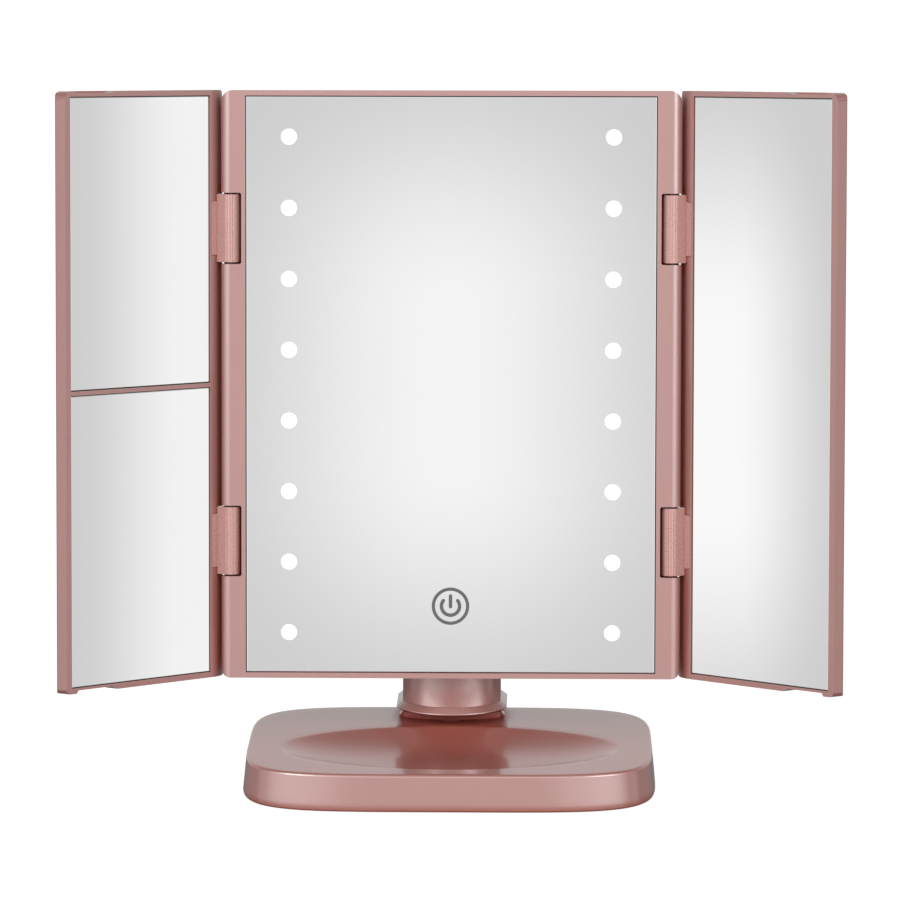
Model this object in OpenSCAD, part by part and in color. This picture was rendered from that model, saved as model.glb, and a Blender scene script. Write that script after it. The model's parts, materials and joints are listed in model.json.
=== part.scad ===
// Trifold vanity mirror: a lit centre panel with two folding wings on a tilting column and tray base.
// Millimetres. The origin is the middle of the underside, +Z is up, the mirrors face -Y, and +X is
// the right-hand side as the user sees it. The wings stand part open and the panel leans back.

/* [Centre panel] */
// Width of the centre panel
panel_w = 182; // [172:1:210]
// Height of the centre panel and the wings
panel_h = 233; // [215:1:260]
// Thickness of the front frame, whose sides are fully rounded
edge_t = 7.3; // [7:0.1:8.5]
// Frame width beside the glass
side_bezel = 9.7; // [9.4:0.1:13]
// Frame width above and below the glass
end_bezel = 2.1; // [1.9:0.1:4]
// Radius of the panel's upper corners, seen from the front
panel_top_r = 4.8; // [2:0.1:6]
// Radius of the panel's lower corners, seen from the front
panel_bottom_r = 3.4; // [2:0.1:6]
// Thickness of the centre mirror glass
glass_t = 2.5; // [2:0.1:2.6]
// Gap round each mirror, between the glass and its frame
glass_gap = 0.4; // [0.2:0.05:0.6]
// Depth of the glass below the front of its frame
glass_sink = 0.5; // [0.3:0.1:0.8]
// Thickness of the frame's floor behind the glass
floor_t = 1.3; // [1:0.1:1.6]

/* [Lighting and controls] */
// Number of lamps down each side, as far as the panel's height holds them at their pitch
led_count = 8; // [6:1:9]
// Distance between lamps
led_pitch = 28.06; // [22:0.1:28.4]
// Distance of each row of lamps from the middle
led_x = 64.1; // [60:0.1:67]
// Height of the touch symbol above the panel's lower edge
touch_w = 28.8; // [26:0.1:34]
// Radius of the touch pad
touch_r = 9; // [7:0.1:9.4]
// Sideways place of the power switch
switch_x = 45; // [40:0.5:48]
// Travel of the power switch
switch_travel = 2; // [1.5:0.1:2.5]

/* [Rear housing] */
// Depth of the housing's back behind the front plane
housing_d = 14; // [13.6:0.1:15]
// Wall of the rear housing
housing_wall = 1.8; // [1.5:0.1:2.1]
// Depth of the battery bulge behind the front plane
bulge_d = 17; // [17:0.1:18]
// Travel of the battery door
door_travel = 6; // [4:0.5:7]
// Thickness of the battery door
door_t = 1.5; // [1.2:0.1:1.6]

/* [Fold hinges] */
// Height of each hinge notch in the frame
hinge_h = 28.2; // [24:0.1:34]
// Distance of each hinge above or below the panel's middle
hinge_from_mid = 62; // [55:0.5:66]
// Radius of the hinge pins
pin_r = 1.1; // [0.9:0.05:1.3]
// Radius of the hinge barrels
barrel_r = 3.5; // [3.2:0.05:3.6]
// Gap between the faces when a wing is folded shut
fold_gap = 0.45; // [0.35:0.05:0.8]
// Angle of the left wing from flat
left_fold = 49; // [40:1:60]
// Angle of the right wing from flat
right_fold = 47.5; // [40:0.5:60]

/* [Wings] */
// Thickness of a wing
wing_t = 6.4; // [6:0.1:7.5]
// Gap between the free edges when both wings are shut
meet_gap = 1.6; // [1:0.1:3]
// Wing frame width beside the glass at the hinges
wing_hinge_bezel = 10.9; // [10.7:0.1:14]
// Wing frame width beside the glass at the free edge
wing_free_bezel = 2.9; // [1.6:0.1:4]
// Thickness of the wing mirrors
wing_glass_t = 2; // [1.8:0.1:2.2]
// Width of the bar between the two left mirrors
divider_w = 1.6; // [1.4:0.1:3]
// Radius of the wings' upper free corners
wing_top_r = 3.7; // [2:0.1:5]
// Radius of the wings' lower free corners
wing_bottom_r = 2; // [1.5:0.1:5]
// Depth of the finger recess in the lower edge
recess_h = 1.25; // [0.8:0.05:1.3]
// Depth of the finger groove in the upper edge
groove_h = 0.8; // [0.4:0.1:1]

/* [Column and tilt hinge] */
// Width of the column
col_w = 39.3; // [36:0.1:42]
// Depth of the column from front to back
col_d = 35.6; // [33:0.1:38]
// Radius of the column's bowed front
col_front_r = 21.1; // [20.9:0.1:26]
// Wall of the column
col_wall = 2.2; // [1.8:0.1:2.6]
// Height of the tilt axle
pivot_z = 58; // [56:0.5:64]
// Height of the tilt axle above the panel's lower edge
pivot_w = 22.1; // [20:0.1:24]
// Radius of the tilt axle
axle_r = 3; // [2.5:0.1:3.5]
// Thickness of each tilt lug
lug_t = 5; // [4:0.1:6]
// Lean of the panel from upright
panel_lean = 5.7; // [0:0.1:12]

/* [Collar] */
// Width of the collar's rim
rim_w = 44.4; // [43.4:0.1:48]
// Height of the collar's rim
rim_z = 21.2; // [20:0.1:22]
// Height of the collar's upper bevel
bevel_h = 2.4; // [2:0.1:3]
// Width of the neck under the rim
neck_w = 38.8; // [36:0.1:40]

/* [Base] */
// Width of the base at the bottom
base_w = 162.4; // [150:1:180]
// Depth of the base at the bottom
base_d = 122; // [118:1:135]
// Height of the base
base_h = 15.25; // [15:0.05:17]
// Wall of the base
base_wall = 2.2; // [1.8:0.1:2.6]
// Inward lean of the base's sides over their height
base_draft = 1.3; // [0.8:0.1:2]
// Half width of the oval dish
dish_a = 66.8; // [60:0.1:70]
// Half depth of the oval dish
dish_b = 36.9; // [32:0.1:37.5]
// Depth of the dish
dish_h = 7; // [5:0.1:7.4]
// Thickness of the anti-slip pad
pad_t = 1; // [0.8:0.1:1.5]
// Thickness of the steel weight
weight_t = 2; // [1:0.1:2.2]

/* [Hidden] */

// Colours
ROSE = "#B98B81";
ROSE_DARK = "#A5695F";
SILVER = "#D9DADA";
MILK = "#F4F4F0";
STEEL = "#B4B6B8";
BOARD = "#2F6B45";
BLACK = "#2A2A2A";
COPPER = "#C07A50";
BRIGHT = "#F5E6A8";

// Fits
seat = 0.05;          // between faces that rest on each other
slip = 0.3;           // around a piece that drops into a recess
press = 0.02;         // around a pressed pin
run = 0.05;           // around a pin that turns
over = 1;             // how far a cut runs past a face

// Panel: its own space has X to the right, Y backwards from the front plane, and Z up the panel
edge_r = edge_t / 2;
pin_x = panel_w / 2 - edge_r;
pocket_x = panel_w / 2 - side_bezel;
glass_x = pocket_x - glass_gap;
glass_back = glass_sink + glass_t + seat;
floor_back = glass_back + floor_t;
notch_gap = 0.9;
notch_x = pin_x - barrel_r - notch_gap;
notch_w = [panel_h / 2 - hinge_from_mid, panel_h / 2 + hinge_from_mid];
notch_r = 0.8;
notch_cut = 20;
web_t = 1.4;
web_in = 1.3;
cavity_x = notch_x - 2;
cavity_w = end_bezel + 0.6;
housing_x = pin_x - edge_r - 1.4;
housing_w = 3;
housing_r = 6;
housing_edge_r = 2.5;
lip_h = 1.5;
lip_in = 1.5;
lip_t = 1.4;
lip_x = cavity_x - slip;
lip_z = panel_h / 2 - cavity_w - slip;
housing_screw_in = [7, 16];
housing_screw_x = housing_x - housing_screw_in[0];
housing_screw_w = [housing_screw_in[1], panel_h / 2, panel_h - housing_screw_in[1]];
frame_boss_r = 3;
housing_boss_r = 3.8;
counterbore_r = 2.7;
counterbore_d = 3.4;

// Tilt hinge
head_r = col_d / 2;
head_gap = 0.47;
pivot_d = housing_d + head_gap + head_r;
washer_t = 0.45;
washer_gap = washer_t + 2 * seat;
lug_x = col_w / 2 + washer_gap;
lug_r = 9;
lug_half = 14;
cap_t = 1.4;
cap_r = 5.4;

// Cells: size AAA
cell_r = 5.25;
cell_l = 44.5;
cell_tip = 1;
contact_w = 8.8;
cell_gap = 0.6;
cell_pitch = 2 * cell_r + cell_gap;
cell_count = 4;
spring_l = 4;
contact_t = 0.4;
tub_wall = 1.8;
tub_x = cell_count * cell_pitch / 2 + 0.3;
tub_w = 62;
tub_l = cell_l + spring_l + 2 * contact_t + 1.4;
tub_open = 3;
tub_floor = glass_back + 0.25;
tub_floor_t = 1.25;
cell_d = tub_floor + tub_floor_t + 0.2 + cell_r;
door_w = 2 * tub_x + 4;
door_l = tub_l + 3;
door_lap = (door_l - tub_l) / 2;
tongue_t = 0.65;
tongue_out = 0.9;
tongue_l = 8;
tongue_gap = 0.12;
tongue_w = [tub_w + 5, tub_w + tub_l - 5 - tongue_l];
bulge_wall = 2.2;
bulge_x = door_w / 2 + bulge_wall;
bulge_w = [tub_w - door_lap - door_travel - bulge_wall - 0.8, tub_w + tub_l + door_lap + bulge_wall];
bulge_r = 4;

// Lamps
strip_end = 7;
led_span = panel_h - 2 * (cavity_w + slip + strip_end);
lamps = min(led_count, floor(led_span / led_pitch) + 1);
led_low = panel_h / 2 - (lamps - 1) / 2 * led_pitch;
strip_w = 8;
board_w = 12;
board_t = 1.2;
led_t = 0.8;
led_size = [2.8, 3.5];
strip_low = led_low - strip_end;
strip_l = (lamps - 1) * led_pitch + 2 * strip_end;
rail_w = 1.2;

// Control board
ctrl_d = floor_back + 3.55;
ctrl_x = [-14, 56];
board_gap = 4.2;
ctrl_w = [8, tub_w - tub_wall - board_gap];
ctrl_post_in = 3;
ctrl_post_r = 2;
foil_t = 0.3;
usb_size = [7.6, 2.6, 5.6];
usb_x = 40;
switch_size = [8.6, 2.85, 3.8];
switch_w = 38;
nub = [3, 2.4];
nub_out = 1.2;

// Wings: their own space has X from the hinge edge, Y backwards from the mirror face, and Z up
wing_w = panel_w / 2 - meet_gap / 2;
wing_off = edge_r + fold_gap;
wing_bow_x = 10.5;
wing_bow_d = 4;
wing_bow_r = (pow(wing_bow_x, 2) + pow(wing_bow_d, 2)) / (2 * wing_bow_d);
wing_back_r = 1.6;
wing_cover_t = 1.6;
wing_cover_in = 2;
cover_gap = 0.1;
cover_u = wing_cover_in + cover_gap;
cover_skin = 0.8;
wing_glass_back = glass_sink + wing_glass_t + seat;
recess_from_free = [24, 6.3];
recess_u = [for (d = recess_from_free) wing_w - d];
recess_ramp = [4, 1];
recess_run = 0.2;
hinge_side_over = 0.15;   // the corners' rounding runs off the hinge edge by this much
groove_back = 3.6;

// Hinge leaves
pin_grip = 3.5;
pin_length = hinge_h + 2 * pin_grip;
leaf_screw_u = 5.2;
leaf_screw_z = 7;
leaf_gap = 0.7;
leaf_h = hinge_h - 2 * leaf_gap;
plate_h = 21.2;
plate_wall = 0.8;
plate_u = wing_hinge_bezel - plate_wall;
plate_t = 1.5;
arm_in = notch_x + web_in + slip - pin_x + edge_r;
arm_u = 2 * edge_r - 0.2;
groove_r = 0.5;
groove_x = 1.4;
screw_r = 0.9;
screw_head_r = 1.9;
screw_gap = 0.15;
screw_short = 0.3;

// Column, collar and base
col_back = base_d / 2 - 4.5;
col_front = col_back - col_d;
pivot_y = (col_front + col_back) / 2;
col_corner = col_front_r - sqrt(pow(col_front_r, 2) - pow(col_w / 2, 2));
rim_lip = 0.35;
neck_h = 2.4;
rim_out = (rim_w - col_w) / 2;
rim_corner = 2;
neck_in = 14;
neck_front = col_front + neck_in;
neck_sag = 4.8;
latch_w = 6.2;
latch_out = 2.2;
latch_in = 0.4;
latch_deep = 1.5;
rim_sag = 14.9;
col_low = rim_z + bevel_h;
collar_floor = rim_z - 2.4;
collar_back = col_back + rim_out;
cover_w = 26;
cover_z = [col_low + 4, pivot_z - 2];
col_screw_x = 10;
col_screw_y = pivot_y + 6;
col_post_r = 3;
col_post_h = 14;
plug_depth = 7;
plug_w = neck_w - 8;
plug_y = [neck_front + 6, collar_back - 4];
plug_gap = 0.1;
plug_wall = 2.5;
arc_steps = 20;
base_n = 4.7;
base_top_r = 1.3;
base_foot = 0.6;
base_steps = 96;
dish_y = -13.1;
dish_steps = 64;
plate_in = 1.2;
pad_in = 14;
boss_at = [[66, -42], [58, 43]];
boss_r = 3.4;
plate_z = pad_t;
plate_t2 = 1.8;
weight_a = 46;
weight_b = 24;

// ---- Shared shapes ----

// A rectangle centred on the origin with round corners of two sizes: upper pair and lower pair
module round_rect(w, h, r_top, r_low) {
    translate([-w / 2 + r_low, -h / 2]) square([w - 2 * r_low, h / 2]);
    translate([-w / 2 + r_top, 0]) square([w - 2 * r_top, h / 2]);
    translate([-w / 2, -h / 2 + r_low]) square([w, h - r_low - r_top]);
    for (s = [-1, 1]) {
        translate([s * (w / 2 - r_top), h / 2 - r_top]) circle(r = r_top, $fn = 48);
        translate([s * (w / 2 - r_low), -h / 2 + r_low]) circle(r = r_low, $fn = 48);
    }
}

// An outline in X and Z, extruded backwards along Y from y0 to y1
module along_y(y0, y1) {
    translate([0, y1, 0]) rotate([90, 0, 0]) linear_extrude(y1 - y0) children();
}

// An outline in Y and Z, extruded along X from x0 to x1
module along_x(x0, x1) {
    translate([x0, 0, 0]) rotate([90, 0, 90]) linear_extrude(x1 - x0) children();
}

// A round bar along X
module bar_x(x0, x1, r, fn = 48) {
    translate([x0, 0, 0]) rotate([0, 90, 0]) cylinder(h = x1 - x0, r = r, $fn = fn);
}

// A round bar along Y
module bar_y(y0, y1, r, fn = 48) {
    translate([0, y0, 0]) rotate([-90, 0, 0]) cylinder(h = y1 - y0, r = r, $fn = fn);
}

// A block given by its two corners
module block(lo, hi) {
    translate(lo) cube(hi - lo);
}

// A smooth solid through a stack of rings that all have the same number of points
module loft(rings) {
    n = len(rings[0]);
    k = len(rings);
    pts = [for (r = rings) for (p = r) p];
    sides = [for (j = [0 : k - 2]) for (i = [0 : n - 1])
        [j * n + i, (j + 1) * n + i, (j + 1) * n + (i + 1) % n, j * n + (i + 1) % n]];
    tri = [for (q = sides) each [[q[0], q[1], q[2]], [q[0], q[2], q[3]]]];
    low = [for (i = [0 : n - 1]) i];
    top = [for (i = [n - 1 : -1 : 0]) (k - 1) * n + i];
    polyhedron(points = pts, faces = concat(tri, [low, top]));
}

// A ring in the shape of a squared oval: n is 2 for an ellipse and larger for squarer corners
function oval(a, b, n, z, steps, y0 = 0) = [for (i = [0 : steps - 1])
    let (t = 360 * i / steps, c = cos(t), s = sin(t))
    [a * sign(c) * pow(abs(c), 2 / n), y0 + b * sign(s) * pow(abs(s), 2 / n), z]];

// A wire wound round Z as one unbroken tube, from radius r0 at the bottom to r1 at the top
module coil(r0, r1, wire, turns, h, steps = 8, sides = 6) {
    n = turns * steps;
    rings = [for (i = [0 : n]) let (t = i / n, a = 360 * turns * t, r = r0 + (r1 - r0) * t)
        [for (j = [0 : sides - 1]) let (b = 360 * j / sides)
            [(r + wire * cos(b)) * cos(a), (r + wire * cos(b)) * sin(a),
                wire + (h - 2 * wire) * t + wire * sin(b)]]];
    loft(rings);
}

// A pan-head screw along -Y: its head's underside at y = 0, its shank running forwards
module screw_y(r, head_r, head_t, l) {
    bar_y(-l, 0, r, 24);
    difference() {
        bar_y(0, head_t, head_r, 32);
        for (a = [0, 90]) rotate([0, a, 0])
            block([-head_r * 0.55, head_t * 0.5, -0.3], [head_r * 0.55, head_t + over, 0.3]);
    }
}

// ---- Places ----

// From the panel's own space to where the panel stands
module panel_space() {
    translate([0, pivot_y, pivot_z]) rotate([-panel_lean, 0, 0]) translate([0, -pivot_d, -pivot_w])
        children();
}

// From a wing's own space to where the wing stands: side is -1 for the left and 1 for the right
module wing_space(side) {
    angle = side < 0 ? left_fold : right_fold;
    panel_space() mirror([side < 0 ? 1 : 0, 0, 0]) translate([pin_x, edge_r, 0])
        rotate([0, 0, -angle]) translate([-edge_r, wing_off, 0]) children();
}

// At each of the panel's two hinge heights
module at_hinges() {
    for (w = notch_w) translate([0, 0, w]) children();
}

// On both sides of the panel
module both_sides() {
    for (s = [0, 1]) mirror([s, 0, 0]) children();
}

module at_housing_screws() {
    both_sides() for (w = housing_screw_w) translate([housing_screw_x, 0, w]) children();
}

// At the four posts that carry the control board
module at_board_posts() {
    for (i = [0, 1], j = [0, 1])
        translate([ctrl_x[i] + (1 - 2 * i) * ctrl_post_in, 0, ctrl_w[j] + (1 - 2 * j) * ctrl_post_in])
            children();
}

// At each cell, from its spring's end upwards: alternate cells stand the other way up
module at_cells() {
    for ($cell = [0 : cell_count - 1])
        translate([($cell - (cell_count - 1) / 2) * cell_pitch, cell_d, tub_w + tub_l / 2])
            rotate([180 * ($cell % 2), 0, 0]) translate([0, 0, -tub_l / 2]) children();
}

// At the two screws that hold the column to its collar
module at_column_screws() {
    both_sides() translate([col_screw_x, col_screw_y, 0]) children();
}

// ---- Centre panel ----

// The frame before anything is cut from it
module panel_blank() {
    intersection() {
        linear_extrude(panel_h) union() {
            translate([-pin_x, 0]) square([2 * pin_x, edge_t]);
            for (s = [-1, 1]) translate([s * pin_x, edge_r]) circle(r = edge_r, $fn = 64);
        }
        translate([0, 0, panel_h / 2]) along_y(-over, edge_t + over)
            round_rect(panel_w, panel_h, panel_top_r, panel_bottom_r);
    }
}

module panel_frame() {
    color(ROSE) panel_space() difference() {
        union() {
            difference() {
                panel_blank();
                block([-cavity_x, floor_back, cavity_w], [cavity_x, edge_t + over, panel_h - cavity_w]);
                block([-tub_x - tub_open, glass_back - over, tub_w - tub_open],
                    [tub_x + tub_open, floor_back + over, tub_w + tub_l + tub_open]);
                translate([0, 0, touch_w]) bar_y(glass_back - over, floor_back + over, touch_r + 1);
                both_sides() block([led_x - strip_w / 2 - slip, glass_back - over, strip_low - slip],
                    [led_x + strip_w / 2 + slip, floor_back + over, strip_low + strip_l + slip]);
            }
            both_sides() for (s = [-1, 1]) translate([led_x + s * (board_w - rail_w) / 2, 0, 0])
                block([-rail_w / 2, floor_back - 0.2, strip_low],
                    [rail_w / 2, floor_back + led_t, strip_low + strip_l]);
            at_housing_screws() bar_y(floor_back - 0.2, edge_t + 0.6, frame_boss_r, 32);
            at_board_posts() bar_y(floor_back - 0.2, ctrl_d, ctrl_post_r, 24);
        }
        block([-pocket_x, -over, end_bezel], [pocket_x, glass_back, panel_h - end_bezel]);
        at_housing_screws() bar_y(floor_back, edge_t + over, screw_r + press, 24);
        both_sides() at_hinges() {
            along_y(-over, edge_t - web_t) translate([notch_x + notch_cut / 2, 0])
                round_rect(notch_cut, hinge_h, notch_r, notch_r);
            along_y(-over, edge_t + over) translate([notch_x + web_in + notch_cut / 2, 0])
                round_rect(notch_cut, hinge_h, notch_r, notch_r);
            translate([pin_x, edge_r, -pin_length / 2])
                cylinder(h = pin_length, r = pin_r + press, $fn = 32);
        }
    }
}

module center_mirror() {
    color(SILVER) panel_space() block([-glass_x, glass_sink, end_bezel + glass_gap],
        [glass_x, glass_sink + glass_t, panel_h - end_bezel - glass_gap]);
}

module light_diffusers() {
    color(MILK) panel_space() both_sides() block([led_x - strip_w / 2, glass_back, strip_low],
        [led_x + strip_w / 2, floor_back - seat, strip_low + strip_l]);
}

module leds() {
    color(BRIGHT) panel_space() both_sides() for (i = [0 : lamps - 1])
        translate([led_x, 0, led_low + i * led_pitch])
            block([-led_size[0] / 2, floor_back, -led_size[1] / 2],
                [led_size[0] / 2, floor_back + led_t - seat, led_size[1] / 2]);
}

module led_boards() {
    color(BOARD) panel_space() both_sides() block([led_x - board_w / 2, floor_back + led_t, strip_low],
        [led_x + board_w / 2, floor_back + led_t + board_t, strip_low + strip_l]);
}

module touch_pad() {
    color(COPPER) panel_space() translate([0, 0, touch_w])
        bar_y(glass_back, glass_back + foil_t, touch_r);
}

module touch_spring() {
    color(STEEL) panel_space() translate([0, glass_back + foil_t + seat, touch_w]) rotate([-90, 0, 0])
        coil(4, 4, 0.35, 3, ctrl_d - glass_back - foil_t - 2 * seat);
}

module control_board() {
    color(BOARD) panel_space() difference() {
        block([ctrl_x[0], ctrl_d, ctrl_w[0]], [ctrl_x[1], ctrl_d + board_t, ctrl_w[1]]);
        at_board_posts() bar_y(ctrl_d - over, ctrl_d + board_t + over, 1.1, 24);
    }
}

module usb_socket() {
    color(STEEL) panel_space() translate([usb_x, ctrl_d + board_t, housing_w + housing_wall + 0.2])
        difference() {
            block([-usb_size[0] / 2, 0, 0], [usb_size[0] / 2, usb_size[1], usb_size[2]]);
            block([-usb_size[0] / 2 + 0.4, 0.4, -over],
                [usb_size[0] / 2 - 0.4, usb_size[1] - 0.4, usb_size[2] - 1]);
            block([-2.2, 1.1, usb_size[2] - 3], [2.2, 1.6, usb_size[2] - 0.9]);
        }
}

module switch_body() {
    color(STEEL) panel_space() translate([switch_x, ctrl_d + board_t, switch_w])
        block([-switch_size[0] / 2, 0, -switch_size[2] / 2],
            [switch_size[0] / 2, switch_size[1], switch_size[2] / 2]);
}

module switch_slider() {
    color(BLACK) panel_space() translate([switch_x - switch_travel / 2, 0, switch_w]) {
        block([-nub[0] / 2, ctrl_d + board_t + switch_size[1] + seat, -nub[1] / 2],
            [nub[0] / 2, housing_d + nub_out, nub[1] / 2]);
        for (i = [-1 : 1]) translate([i * 0.9, 0, 0])
            block([-0.2, housing_d + nub_out - 0.1, -nub[1] / 2],
                [0.2, housing_d + nub_out + 0.25, nub[1] / 2]);
    }
}

module hinge_pins() {
    color(STEEL) panel_space() both_sides() at_hinges()
        translate([pin_x, edge_r, -pin_length / 2 + seat])
            cylinder(h = pin_length - 2 * seat, r = pin_r, $fn = 32);
}

// ---- Rear housing, cells and door ----

// A box whose back edges are rounded, from y0 to y1, inside the outline half_w by [w0, w1]
module pillow(half_w, w0, w1, y0, y1, corner_r, back_r) {
    h = w1 - w0;
    intersection() {
        translate([0, 0, w0]) linear_extrude(h) union() {
            translate([-half_w, y0]) square([2 * half_w, y1 - y0 - back_r]);
            translate([-half_w + back_r, y0]) square([2 * half_w - 2 * back_r, y1 - y0]);
            for (s = [-1, 1]) translate([s * (half_w - back_r), y1 - back_r])
                circle(r = back_r, $fn = 48);
        }
        translate([0, 0, w0 + h / 2]) along_y(y0 - over, y1 + over)
            round_rect(2 * half_w, h, corner_r, corner_r);
        translate([0, 0, w0]) along_x(-half_w - over, half_w + over) union() {
            translate([y0, 0]) square([y1 - y0 - back_r, h]);
            translate([y0, back_r]) square([y1 - y0, h - 2 * back_r]);
            for (z = [back_r, h - back_r]) translate([y1 - back_r, z]) circle(r = back_r, $fn = 48);
        }
    }
}

// One of the two lugs that carry the panel on the tilt axle
module tilt_lug() {
    along_x(lug_x, lug_x + lug_t) union() {
        translate([pivot_d, pivot_w]) circle(r = lug_r, $fn = 64);
        polygon([[housing_d - 0.5, pivot_w - lug_half], [housing_d - 0.5, pivot_w + lug_half],
            [pivot_d, pivot_w + lug_r], [pivot_d, pivot_w - lug_r]]);
    }
}

module rear_housing() {
    color(ROSE_DARK) panel_space() difference() {
        union() {
            difference() {
                pillow(housing_x, housing_w, panel_h - housing_w, edge_t + seat, housing_d, housing_r,
                    housing_edge_r);
                pillow(housing_x - housing_wall, housing_w + housing_wall,
                    panel_h - housing_w - housing_wall, edge_t - over, housing_d - housing_wall,
                    housing_r - housing_wall, 1);
            }
            // locating lip inside the frame
            translate([0, 0, panel_h / 2]) difference() {
                along_y(edge_t - lip_h, edge_t + lip_in)
                    round_rect(2 * lip_x, 2 * lip_z, housing_r, housing_r);
                along_y(edge_t - lip_h - over, edge_t + lip_in + over)
                    round_rect(2 * (lip_x - lip_t), 2 * (lip_z - lip_t - 1), housing_r - lip_t,
                        housing_r - lip_t);
            }
            block([-tub_x - tub_wall, tub_floor, tub_w - tub_wall],
                [tub_x + tub_wall, housing_d - 0.5, tub_w + tub_l + tub_wall]);
            pillow(bulge_x, bulge_w[0], bulge_w[1], housing_d - 0.5, bulge_d, bulge_r, 1.6);
            both_sides() tilt_lug();
            at_housing_screws() bar_y(edge_t + 0.7, housing_d - 1, housing_boss_r, 32);
        }
        // cell space, open at the back
        block([-tub_x, tub_floor + tub_floor_t, tub_w], [tub_x, bulge_d + over, tub_w + tub_l]);
        // recess the door lies and slides in
        block([-door_w / 2 - slip, bulge_d - door_t - seat, tub_w - door_lap - door_travel - slip],
            [door_w / 2 + slip, bulge_d + over, tub_w + tub_l + door_lap + slip]);
        // grooves for the door's tongues, with a way in at the open end of the travel
        both_sides() for (w = tongue_w) {
            block([door_w / 2, bulge_d - door_t - seat, w - door_travel - slip],
                [door_w / 2 + tongue_out + slip, bulge_d - door_t + tongue_t + tongue_gap,
                    w + tongue_l + slip]);
            block([door_w / 2, bulge_d - door_t - seat, w - door_travel - slip],
                [door_w / 2 + tongue_out + slip, bulge_d + over, w + tongue_l - door_travel + slip]);
        }
        both_sides() translate([0, pivot_d, pivot_w])
            bar_x(lug_x - over, lug_x + lug_t + over, axle_r + run);
        at_housing_screws() {
            bar_y(edge_t - over, housing_d + over, screw_r + 0.3, 24);
            bar_y(housing_d - counterbore_d, housing_d + over, counterbore_r, 32);
        }
        // slot for the switch
        translate([switch_x, 0, switch_w])
            block([-switch_travel / 2 - nub[0] / 2 - slip, edge_t, -nub[1] / 2 - slip],
                [switch_travel / 2 + nub[0] / 2 + slip, housing_d + over, nub[1] / 2 + slip]);
        // finger hollow round the switch
        translate([switch_x, housing_d, switch_w]) bar_y(-0.7, over, 6, 48);
        // window for the charging plug
        block([usb_x - usb_size[0] / 2 - 0.6, ctrl_d + board_t - 0.2, housing_w - over],
            [usb_x + usb_size[0] / 2 + 0.6, ctrl_d + board_t + usb_size[1] + 0.4,
                housing_w + housing_wall + 0.1]);
    }
}

module housing_screws() {
    color(STEEL) panel_space() at_housing_screws() translate([0, housing_d - counterbore_d + seat, 0])
        screw_y(screw_r, 2.3, 1.5, 5);
}

module battery_cells() {
    color(BLACK) panel_space() at_cells() translate([0, 0, contact_t + spring_l]) {
        cylinder(h = cell_l - cell_tip, r = cell_r, $fn = 48);
        translate([0, 0, cell_l - cell_tip - 0.1]) cylinder(h = cell_tip + 0.1, r = 1.9, $fn = 32);
    }
}

module battery_springs() {
    color(STEEL) panel_space() at_cells() translate([0, 0, contact_t + seat])
        coil(3.6, 2.2, 0.3, 3, spring_l - 2 * seat);
}

module battery_contacts() {
    cell_top = contact_t + spring_l + cell_l;
    color(STEEL) panel_space() at_cells() {
        block([-contact_w / 2, -4, seat], [contact_w / 2, 4, contact_t]);
        block([-contact_w / 2, -4, tub_l - contact_t - seat], [contact_w / 2, 4, tub_l - seat]);
        translate([0, 0, cell_top + seat])
            cylinder(h = tub_l - contact_t - cell_top - seat, r = 2.6, $fn = 32);
    }
}

module battery_door() {
    color(ROSE_DARK) panel_space() difference() {
        union() {
            block([-door_w / 2, bulge_d - door_t, tub_w - door_lap],
                [door_w / 2, bulge_d, tub_w + tub_l + door_lap]);
            both_sides() for (w = tongue_w) block([door_w / 2 - 1, bulge_d - door_t, w],
                [door_w / 2 + tongue_out, bulge_d - door_t + tongue_t, w + tongue_l]);
        }
        for (i = [0 : 4]) translate([0, bulge_d, tub_w + 5 + i * 2.2])
            block([-9 + i * 1.4, -0.6, -0.55], [9 - i * 1.4, over, 0.55]);
    }
}

module axle_caps() {
    color(ROSE_DARK) panel_space() both_sides() translate([lug_x + lug_t, pivot_d, pivot_w])
        rotate([0, 90, 0]) rotate_extrude($fn = 48) intersection() {
            square([cap_r, cap_t]);
            translate([0, cap_t - 11]) circle(r = 11, $fn = 96);
        }
}

// ---- Wings ----

// The wing's section across its width
module wing_section(t) {
    intersection() {
        union() {
            translate([wing_bow_x, 0]) square([wing_w - wing_bow_x, t]);
            intersection() {
                square([wing_bow_x + 0.01, t]);
                translate([wing_bow_x, wing_bow_r]) circle(r = wing_bow_r, $fn = 180);
            }
        }
        union() {
            square([wing_w, t - wing_back_r]);
            translate([wing_back_r, 0]) square([wing_w - 2 * wing_back_r, t]);
            for (u = [wing_back_r, wing_w - wing_back_r]) translate([u, t - wing_back_r])
                circle(r = wing_back_r, $fn = 48);
        }
    }
}

// The wing's outline from the front: rounded corners, and a finger recess in the lower edge
module wing_outline() {
    difference() {
        translate([(wing_w - hinge_side_over) / 2, panel_h / 2])
            round_rect(wing_w + hinge_side_over, panel_h, wing_top_r, wing_bottom_r);
        recess_outline(recess_h);
    }
}

// A scallop of this depth in an edge along X
module recess_outline(depth) {
    polygon([[recess_u[0] - recess_ramp[0], -recess_run], [recess_u[0], depth],
        [recess_u[1], depth], [recess_u[1] + recess_ramp[1], -recess_run]]);
}

module wing_blank() {
    difference() {
        intersection() {
            linear_extrude(panel_h) wing_section(wing_t);
            along_y(-over, wing_t + over) wing_outline();
        }
        // finger groove in the upper edge, open to the front
        translate([0, 0, panel_h]) mirror([0, 0, 1]) along_y(-over, groove_back) recess_outline(groove_h);
    }
}

// The opening for one mirror between two heights
module mirror_pocket(w0, w1) {
    block([wing_hinge_bezel, -over, w0], [wing_w - wing_free_bezel, wing_glass_back, w1]);
}

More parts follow.
